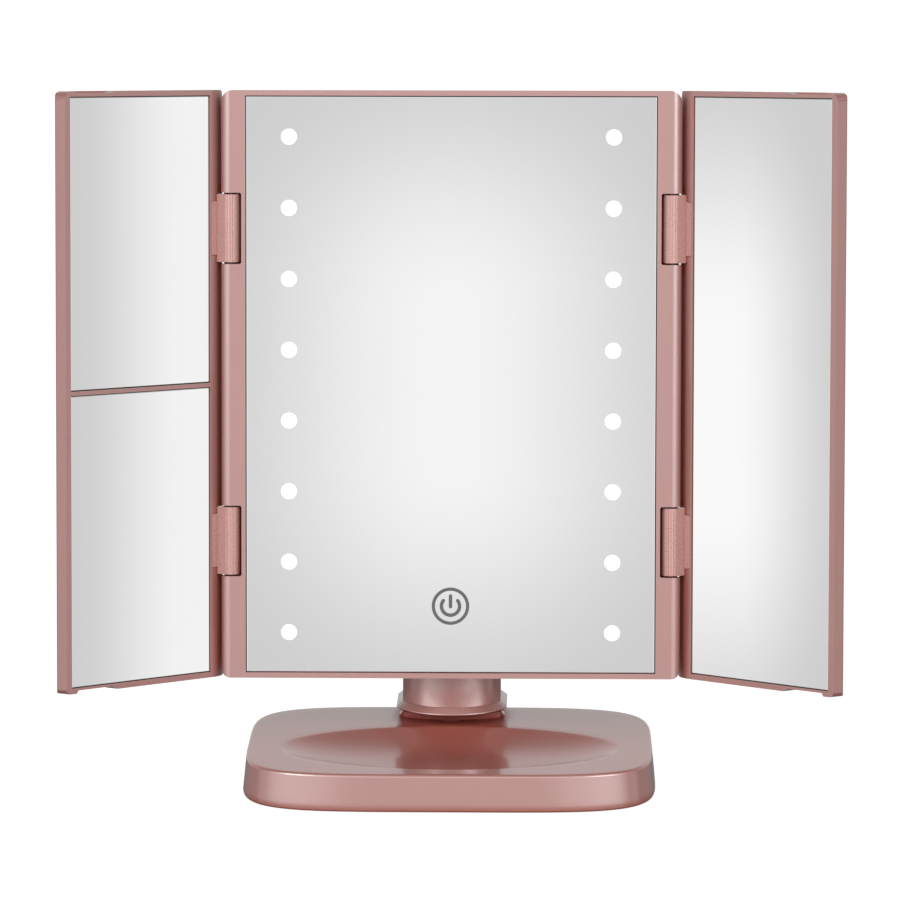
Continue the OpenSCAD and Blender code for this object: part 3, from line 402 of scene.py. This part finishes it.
def blocks_mesh(name, corners):
    """One mesh of blocks, each given by two opposite corners."""
    work = bmesh.new()
    for low, high in corners:
        for vert in bmesh.ops.create_cube(work, size=1.0)["verts"]:
            vert.co = [low[i] if vert.co[i] < 0 else high[i] for i in range(3)]
    bmesh.ops.recalc_face_normals(work, faces=work.faces)
    mesh = bpy.data.meshes.new(name)
    work.to_mesh(mesh)
    work.free()
    return mesh


def slotted(mesh, low, high):
    """The mesh with a slot cut where this box lies."""
    drafts = [bpy.data.objects.new("draft", data) for data in (mesh, blocks_mesh("cutter", [(low, high)]))]
    for draft in drafts:
        bpy.context.scene.collection.objects.link(draft)
    cut = drafts[0].modifiers.new("slot", "BOOLEAN")
    cut.operation = "DIFFERENCE"
    cut.object = drafts[1]
    done = applied(drafts[0])
    for draft in drafts:
        bpy.data.objects.remove(draft)
    done.set_sharp_from_angle(angle=SHARP)
    return done


new_piece("base_shell_finished", slotted(base_mesh(), *LATCH_SLOT), LACQUER, "stand", "rose_paint",
          "base_shell")

# ---- Lamp windows and touch symbol, on the centre glass ----


def tree_with(name, *inputs):
    """A Geometry Nodes tree with named inputs, and its input and output nodes."""
    tree = bpy.data.node_groups.new(name, "GeometryNodeTree")
    for label, kind in inputs:
        tree.interface.new_socket(label, in_out="INPUT", socket_type="NodeSocket" + kind)
    tree.interface.new_socket("Geometry", in_out="OUTPUT", socket_type="NodeSocketGeometry")
    return tree, tree.nodes.new("NodeGroupInput"), tree.nodes.new("NodeGroupOutput")


def grown(name, tree, values, place):
    """The plain mesh that a Geometry Nodes tree makes with these values, put in its place."""
    seed = bpy.data.objects.new("seed", bpy.data.meshes.new("seed"))
    bpy.context.scene.collection.objects.link(seed)
    modifier = seed.modifiers.new("tree", "NODES")
    modifier.node_group = tree
    for item in tree.interface.items_tree:
        if item.in_out == "INPUT":
            modifier[item.identifier] = values[item.name]
    mesh = applied(seed)
    bpy.data.objects.remove(seed)
    mesh.name = name
    mesh.transform(place)
    return mesh


def window_tree():
    """Two columns of low round windows, standing on the plane y = 0 and facing -Y."""
    tree, given, out = tree_with("lamp_windows", ("Rows", "Int"), ("Pitch", "Float"), ("Apart", "Float"),
                                 ("Radius", "Float"), ("Thickness", "Float"), ("Finish", "Material"))
    step = node(tree, "ShaderNodeCombineXYZ", {"Z": given.outputs["Pitch"]})
    columns = []
    for half in (-0.5, 0.5):
        x = node(tree, "ShaderNodeMath", {0: given.outputs["Apart"], 1: half}, operation="MULTIPLY")
        columns.append(node(tree, "GeometryNodeMeshLine", {
            "Count": given.outputs["Rows"], "Offset": step,
            "Start Location": node(tree, "ShaderNodeCombineXYZ", {"X": x})}))
    disc = node(tree, "GeometryNodeMeshCylinder", {
        "Vertices": 48, "Radius": given.outputs["Radius"], "Depth": given.outputs["Thickness"]})
    turned = node(tree, "GeometryNodeTransform", {"Geometry": disc, "Rotation": (math.pi / 2, 0, 0)})
    copies = node(tree, "GeometryNodeInstanceOnPoints", {
        "Points": node(tree, "GeometryNodeJoinGeometry", {0: columns}), "Instance": turned})
    finish = node(tree, "GeometryNodeSetMaterial", {
        "Geometry": node(tree, "GeometryNodeRealizeInstances", {0: copies}),
        "Material": given.outputs["Finish"]})
    tree.links.new(finish.outputs[0], out.inputs[0])
    return tree


LAMP_ROWS = 8
LAMP_PITCH = 28.06 * MM
LAMP_APART = 128.2 * MM
LAMP_LOW = (PANEL_HEIGHT - (LAMP_ROWS - 1) * LAMP_PITCH) / 2
WINDOW_RADIUS = 3.2 * MM
PRINT_THICK = 0.03 * MM

glass_face = panel_space @ Matrix.Translation((0, GLASS_SINK - PRINT_THICK / 2, 0))
windows = grown("lamp_windows", window_tree(), {
    "Rows": LAMP_ROWS, "Pitch": LAMP_PITCH, "Apart": LAMP_APART, "Radius": WINDOW_RADIUS,
    "Thickness": PRINT_THICK, "Finish": WINDOW}, glass_face @ Matrix.Translation((0, 0, LAMP_LOW)))
new_piece("lamp_windows", windows, WINDOW, "panel", "milky_acrylic")


def stroke(path, width):
    """The outline of a flat band of one width along a path in X and Z, with round ends."""
    half = width / 2
    ends = []
    for at, back in ((path[-1], path[-2]), (path[0], path[1])):
        heading = math.atan2(at[1] - back[1], at[0] - back[0])
        ends.append([(at[0] + half * math.cos(heading + turn), at[1] + half * math.sin(heading + turn))
                     for turn in [math.pi / 2 - math.pi * k / 10 for k in range(11)]])
    left, right = [], []
    for i in range(1, len(path) - 1):
        heading = math.atan2(path[i + 1][1] - path[i - 1][1], path[i + 1][0] - path[i - 1][0])
        across = (-half * math.sin(heading), half * math.cos(heading))
        left.append((path[i][0] + across[0], path[i][1] + across[1]))
        right.append((path[i][0] - across[0], path[i][1] - across[1]))
    return left + ends[0] + list(reversed(right)) + ends[1]


def print_on_glass(work, outline):
    """Adds a thin closed print with this outline to a bmesh, on the plane y = 0, facing -Y."""
    face = work.faces.new([work.verts.new((x, 0, z)) for x, z in outline])
    raised = bmesh.ops.extrude_face_region(work, geom=[face])
    bmesh.ops.translate(work, vec=(0, -PRINT_THICK, 0),
                        verts=[v for v in raised["geom"] if isinstance(v, bmesh.types.BMVert)])


SYMBOL_HEIGHT = 28.84 * MM
SYMBOL_RING = (7.45 * MM, 6.15 * MM)
SYMBOL_ARC_RADIUS = 3.6 * MM
SYMBOL_STROKE = 1.4 * MM
SYMBOL_GAP = math.radians(52)
SYMBOL_BAR = (-0.2 * MM, 4.05 * MM)
SYMBOL_AROUND = 72


def symbol_mesh():
    """The plain power symbol: a ring round an open arc and an upright bar."""
    work = bmesh.new()
    turns = [2 * math.pi * i / SYMBOL_AROUND for i in range(SYMBOL_AROUND)]
    edges = [[work.verts.new((r * math.cos(turn), y, r * math.sin(turn))) for turn in turns]
             for r, y in ((SYMBOL_RING[0], 0), (SYMBOL_RING[0], -PRINT_THICK),
                          (SYMBOL_RING[1], -PRINT_THICK), (SYMBOL_RING[1], 0))]
    for j in range(4):
        for i in range(SYMBOL_AROUND):
            a, b, k = edges[j], edges[(j + 1) % 4], (i + 1) % SYMBOL_AROUND
            work.faces.new((a[i], a[k], b[k], b[i]))
    arc = []
    for i in range(41):
        turn = math.pi / 2 + SYMBOL_GAP + (2 * math.pi - 2 * SYMBOL_GAP) * i / 40
        arc.append((SYMBOL_ARC_RADIUS * math.cos(turn), SYMBOL_ARC_RADIUS * math.sin(turn)))
    print_on_glass(work, stroke(arc, SYMBOL_STROKE))
    bar = [(0, SYMBOL_BAR[0] + (SYMBOL_BAR[1] - SYMBOL_BAR[0]) * i / 4) for i in range(5)]
    print_on_glass(work, stroke(bar, SYMBOL_STROKE))
    bmesh.ops.recalc_face_normals(work, faces=work.faces)
    mesh = bpy.data.meshes.new("touch_symbol")
    work.to_mesh(mesh)
    work.free()
    mesh.transform(glass_face @ Matrix.Translation((0, 0, SYMBOL_HEIGHT)))
    return mesh


new_piece("touch_symbol", symbol_mesh(), INK, "panel", "mirror_glass")

# ---- Painted shade: a black strip, laid like bonding tape, in the gap round each glass ----

GAP_SHADE_BELOW = 0.7 * MM    # how far the dark strip's edge lies below the face of the glass
GLASS_GAP = 0.4 * MM
GAP_SHADE_BACK = 2.4 * MM
END_BEZEL = 2.1 * MM
DIVIDER_TOP = 117.3 * MM
DIVIDER_LOW = 115.7 * MM
PANEL_TOP = PANEL_HEIGHT - END_BEZEL


def glass_gap_shade(name, space, body, low, high):
    """A black square ring that fills the gap between a glass and its pocket, whose corners are given: painted
    shade for that gap.
    """
    work = bmesh.new()
    loops = []
    for gap, back in ((0, GLASS_SINK + GAP_SHADE_BELOW), (GLASS_GAP, GLASS_SINK + GAP_SHADE_BELOW),
                      (GLASS_GAP, GAP_SHADE_BACK), (0, GAP_SHADE_BACK)):
        x0, x1, z0, z1 = low[0] + gap, high[0] - gap, low[1] + gap, high[1] - gap
        loops.append([work.verts.new((x, back, z)) for x, z in ((x0, z0), (x1, z0), (x1, z1), (x0, z1))])
    for first, second in zip(loops, loops[1:] + loops[:1]):
        for i in range(4):
            work.faces.new((first[i], first[(i + 1) % 4], second[(i + 1) % 4], second[i]))
    bmesh.ops.recalc_face_normals(work, faces=work.faces)
    mesh = bpy.data.meshes.new(name)
    work.to_mesh(mesh)
    work.free()
    mesh.transform(space)
    # Black all over, as painted shade in the gap.
    new_piece(name, mesh, BLACK, body, "black_plastic")


CENTRE_POCKET = 81.3 * MM
WING_POCKET = (10.9 * MM, 87.3 * MM)
glass_gap_shade("center_glass_seal", panel_space, "panel", (-CENTRE_POCKET, END_BEZEL), (CENTRE_POCKET, PANEL_TOP))
glass_gap_shade("left_upper_glass_seal", wing_space(-1), "left_wing", (WING_POCKET[0], DIVIDER_TOP),
           (WING_POCKET[1], PANEL_TOP))
glass_gap_shade("left_lower_glass_seal", wing_space(-1), "left_wing", (WING_POCKET[0], END_BEZEL),
           (WING_POCKET[1], DIVIDER_LOW))
glass_gap_shade("right_glass_seal", wing_space(1), "right_wing", (WING_POCKET[0], END_BEZEL),
           (WING_POCKET[1], PANEL_TOP))

# ---- Webs that close the back of each hinge notch, above and below its leaf ----

HINGE_FROM_MID = 62 * MM
WEB_ACROSS = (84.0 * MM, 90.0 * MM)
WEB_BACK = (4.9 * MM, 5.9 * MM)
WEB_END = (13.45 * MM, 14.4 * MM)    # from the notch's middle: clear of the leaf, and let into the wall

web_corners = []
for side in (-1, 1):
    for hinge in (-1, 1):
        for end in (-1, 1):
            across = sorted(side * x for x in WEB_ACROSS)
            up = sorted(PANEL_HEIGHT / 2 + hinge * HINGE_FROM_MID + end * z for z in WEB_END)
            web_corners.append(((across[0], WEB_BACK[0], up[0]), (across[1], WEB_BACK[1], up[1])))
webs = blocks_mesh("notch_webs", web_corners)
webs.transform(panel_space)
new_piece("notch_webs", webs, LACQUER, "panel", "rose_paint")

# ---- Finishes of the nodes that stay ----

for name, part in frame["nodes"].items():
    part.data.materials.clear()
    part.data.materials.append(PIN if name == "hinge_pins" else SLOT_FINISH[node_slot[name]])

# ---- Camera ----

CAMERA_TARGET = Vector((-0.061, 0.6, 132.084)) * MM
CAMERA_DISTANCE = 2126.7 * MM
CAMERA_AZIMUTH = math.radians(1.086)
CAMERA_ELEVATION = math.radians(10.106)
CAMERA_FOCAL_PX = 5406   # focal length in pixels of a frame 900 pixels wide
FRAME_PX = 900
SENSOR = 36.0

camera_data = bpy.data.cameras.new("camera")
camera_data.sensor_width = SENSOR
camera_data.lens = SENSOR * CAMERA_FOCAL_PX / FRAME_PX
camera_data.clip_start = 0.1
camera_data.clip_end = 50
camera = bpy.data.objects.new("camera", camera_data)
bpy.context.scene.collection.objects.link(camera)
away = Vector((math.sin(CAMERA_AZIMUTH) * math.cos(CAMERA_ELEVATION),
               -math.cos(CAMERA_AZIMUTH) * math.cos(CAMERA_ELEVATION), math.sin(CAMERA_ELEVATION)))
camera.location = CAMERA_TARGET + CAMERA_DISTANCE * away
camera.rotation_mode = "QUATERNION"
camera.rotation_quaternion = (-away).to_track_quat("-Z", "Y")
bpy.context.scene.camera = camera

# ---- Studio: what the mirrors see, the floor and the lamps ----

CARD_DIM = 0.655      # level of the grey studio, which the glass shows away from its card
FRONT_LEVEL = 1.36    # levels of the studio that the lacquer shows: its front and its sides
SIDE_LEVEL = 0.45
FRONT_SPAN = (-0.5, 0.1)
STUDIO_SHARES = (     # shares of that level: the direction's axis, where on it the change lies, and the share
    ("Y", (0.45, 0.92), 1.0, 0.62 / SIDE_LEVEL),    # straight behind
    ("Z", (0.35, 0.8), 1.0, 0.18 / SIDE_LEVEL),     # the ceiling
    ("Z", (-0.22, -0.03), 0.3, 1.0),                # below the horizon
    ("X", (0.85, 1.0), 1.0, 0.55))                  # the right side
FILL = (0.7, 0.14)    # share of that light that dull surfaces get, and what they get from everywhere
FLOOR_REACH = 12.0
FLOOR_GIVES = "#A8A8A8"   # the floor's colour as the object gets its light back
FLOOR_SEEN = "#8C8C8C"    # and as the camera sees it, before the lift
FLOOR_LIFT = 0.93     # how far the floor is lifted towards white, as the camera sees it

camera_turn = camera.rotation_quaternion.to_matrix()


def seen_in(normal, x, y):
    """The direction that a mirror with this normal shows at a pixel of the 900 by 900 frame."""
    ray = camera_turn @ Vector(((x - FRAME_PX / 2), (FRAME_PX / 2 - y), -CAMERA_FOCAL_PX)).normalized()
    return (ray - 2 * ray.dot(normal) * normal).normalized()


WINDOW_EDGE = (math.radians(8), math.radians(12))   # each glass shows less than this round its card


def card_tone(tree, direction, normal, middle, flat, fade, bright):
    """The level of one soft card in each direction, full inside its flat middle and then fading, and
    how far the direction is one that its glass shows. Middle, flat and fade are in pixels of the frame,
    as the mirror with this normal shows the card."""
    at = seen_in(normal, *middle)
    squares = []
    for axis, (x, y) in enumerate(((1, 0), (0, 1))):
        tangent = (seen_in(normal, middle[0] + x, middle[1] + y) - at).normalized()
        along = node(tree, "ShaderNodeVectorMath", {0: direction, 1: tangent}, operation="DOT_PRODUCT")
        away = node(tree, "ShaderNodeMath", {0: along, 1: at.dot(tangent)}, operation="SUBTRACT")
        size = node(tree, "ShaderNodeMath", {0: away}, operation="ABSOLUTE")
        past = node(tree, "ShaderNodeMath", {0: size, 1: flat[axis] / CAMERA_FOCAL_PX},
                    operation="SUBTRACT")
        kept = node(tree, "ShaderNodeMath", {0: past, 1: 0.0}, operation="MAXIMUM")
        share = node(tree, "ShaderNodeMath", {0: kept, 1: fade[axis] / CAMERA_FOCAL_PX}, operation="DIVIDE")
        squares.append(node(tree, "ShaderNodeMath", {0: share, 1: 2.0}, operation="POWER"))
    total = node(tree, "ShaderNodeMath", {0: squares[0], 1: squares[1]}, operation="ADD")
    fall = node(tree, "ShaderNodeMapRange", {
        "Value": node(tree, "ShaderNodeMath", {0: total, 1: 0.5}, operation="POWER"),
        "To Min": bright - CARD_DIM, "To Max": 0.0}, interpolation_type="SMOOTHSTEP")
    facing = node(tree, "ShaderNodeVectorMath", {0: direction, 1: at}, operation="DOT_PRODUCT")
    window = node(tree, "ShaderNodeMapRange", {"Value": facing, "From Min": math.cos(WINDOW_EDGE[1]),
                                               "From Max": math.cos(WINDOW_EDGE[0])},
                  interpolation_type="SMOOTHSTEP")
    return node(tree, "ShaderNodeMath", {0: fall, 1: CARD_DIM}, operation="ADD"), window


def make_world():
    """White to the camera, and to the object a studio with a bright front, darker sides and a dark
    ceiling, in which the mirrors find three soft cards."""
    world = bpy.data.worlds.new("studio")
    bpy.context.scene.world = world
    world.use_nodes = True
    tree = world.node_tree
    direction = node(tree, "ShaderNodeTexCoord").outputs["Generated"]
    way = node(tree, "ShaderNodeSeparateXYZ", {"Vector": direction})
    studio = node(tree, "ShaderNodeMapRange", {
        "Value": way.outputs["Y"], "From Min": FRONT_SPAN[0], "From Max": FRONT_SPAN[1],
        "To Min": FRONT_LEVEL, "To Max": SIDE_LEVEL}, interpolation_type="SMOOTHSTEP")
    for axis, span, low, high in STUDIO_SHARES:
        share = node(tree, "ShaderNodeMapRange", {
            "Value": way.outputs[axis], "From Min": span[0], "From Max": span[1],
            "To Min": low, "To Max": high}, interpolation_type="SMOOTHSTEP")
        studio = node(tree, "ShaderNodeMath", {0: studio, 1: share}, operation="MULTIPLY")
    fill = node(tree, "ShaderNodeMath", {0: studio, 1: FILL[0], 2: FILL[1]}, operation="MULTIPLY_ADD")
    tone = studio
    for card in ((-panel_back, (450, 385), (0, 75), (285, 285), 0.955),
                 (-wing_space(-1).col[1].to_3d(), (215, 400), (25, 900), (120, 100), 0.935),
                 (-wing_space(1).col[1].to_3d(), (669, 420), (59, 82), (124, 296), 1.0)):
        level, window = card_tone(tree, direction, *card)
        tone = node(tree, "ShaderNodeMix", {"Factor": window, "A": tone, "B": level}, data_type="FLOAT")
    path = node(tree, "ShaderNodeLightPath")
    level = node(tree, "ShaderNodeMix", {"Factor": path.outputs["Is Glossy Ray"], "A": fill,
                                         "B": tone}, data_type="FLOAT")
    white = node(tree, "ShaderNodeMath", {0: path.outputs["Is Camera Ray"],
                                          1: path.outputs["Is Transmission Ray"]}, operation="MAXIMUM")
    level = node(tree, "ShaderNodeMix", {"Factor": white, "A": level, "B": 1.0}, data_type="FLOAT")
    background = tree.nodes["Background"]
    background.inputs["Color"].default_value = (1, 1, 1, 1)
    tree.links.new(next(s for s in level.outputs if s.enabled), background.inputs["Strength"])


make_world()


def make_floor():
    """A white floor that keeps only the object's soft shadow."""
    mesh = bpy.data.meshes.new("floor")
    mesh.from_pydata([(x * FLOOR_REACH, y * FLOOR_REACH, 0) for x, y in ((-1, -1), (1, -1), (1, 1), (-1, 1))],
                     [], [(0, 1, 2, 3)])
    floor = bpy.data.objects.new("floor", mesh)
    bpy.context.scene.collection.objects.link(floor)
    made, tree, _ = new_material("white_floor", Roughness=1.0, Specular_IOR_Level=0.0,
                                 Emission_Color=(1, 1, 1, 1))
    path = node(tree, "ShaderNodeLightPath")
    seen = node(tree, "ShaderNodeMath", {0: path.outputs["Is Camera Ray"],
                                         1: path.outputs["Is Transmission Ray"]}, operation="MAXIMUM")
    finished(tree, node(tree, "ShaderNodeMix", {"Factor": seen, "A": linear(FLOOR_GIVES),
                                                "B": linear(FLOOR_SEEN)}, data_type="RGBA"))
    lift = node(tree, "ShaderNodeMath", {0: seen, 1: FLOOR_LIFT}, operation="MULTIPLY")
    tree.links.new(lift.outputs[0], tree.nodes["Principled BSDF"].inputs["Emission Strength"])
    mesh.materials.append(made)
    floor.visible_glossy = False


make_floor()

# The mirrors show only the studio, as in a picture shot between screens.
for piece in list(bpy.data.objects):
    if piece.type == "MESH" and node_body.get(piece.name) in ("panel", "left_wing", "right_wing"):
        piece.visible_glossy = False
    if piece.name in unseen_in_glass:
        piece.visible_glossy = False


def make_lamp(name, place, size, power):
    """A square soft box that looks at the middle of the object."""
    data = bpy.data.lights.new(name, "AREA")
    data.shape = "SQUARE"
    data.size = size
    data.energy = power
    lamp = bpy.data.objects.new(name, data)
    bpy.context.scene.collection.objects.link(lamp)
    lamp.location = place
    lamp.rotation_mode = "QUATERNION"
    lamp.rotation_quaternion = (Vector(place) - CAMERA_TARGET).to_track_quat("Z", "Y")


make_lamp("key_softbox", (-1.25, -1.5, 1.1), 1.0, 16)
make_lamp("fill_softbox", (1.3, -1.45, 0.9), 1.0, 12)

bpy.context.scene.view_settings.view_transform = "Standard"
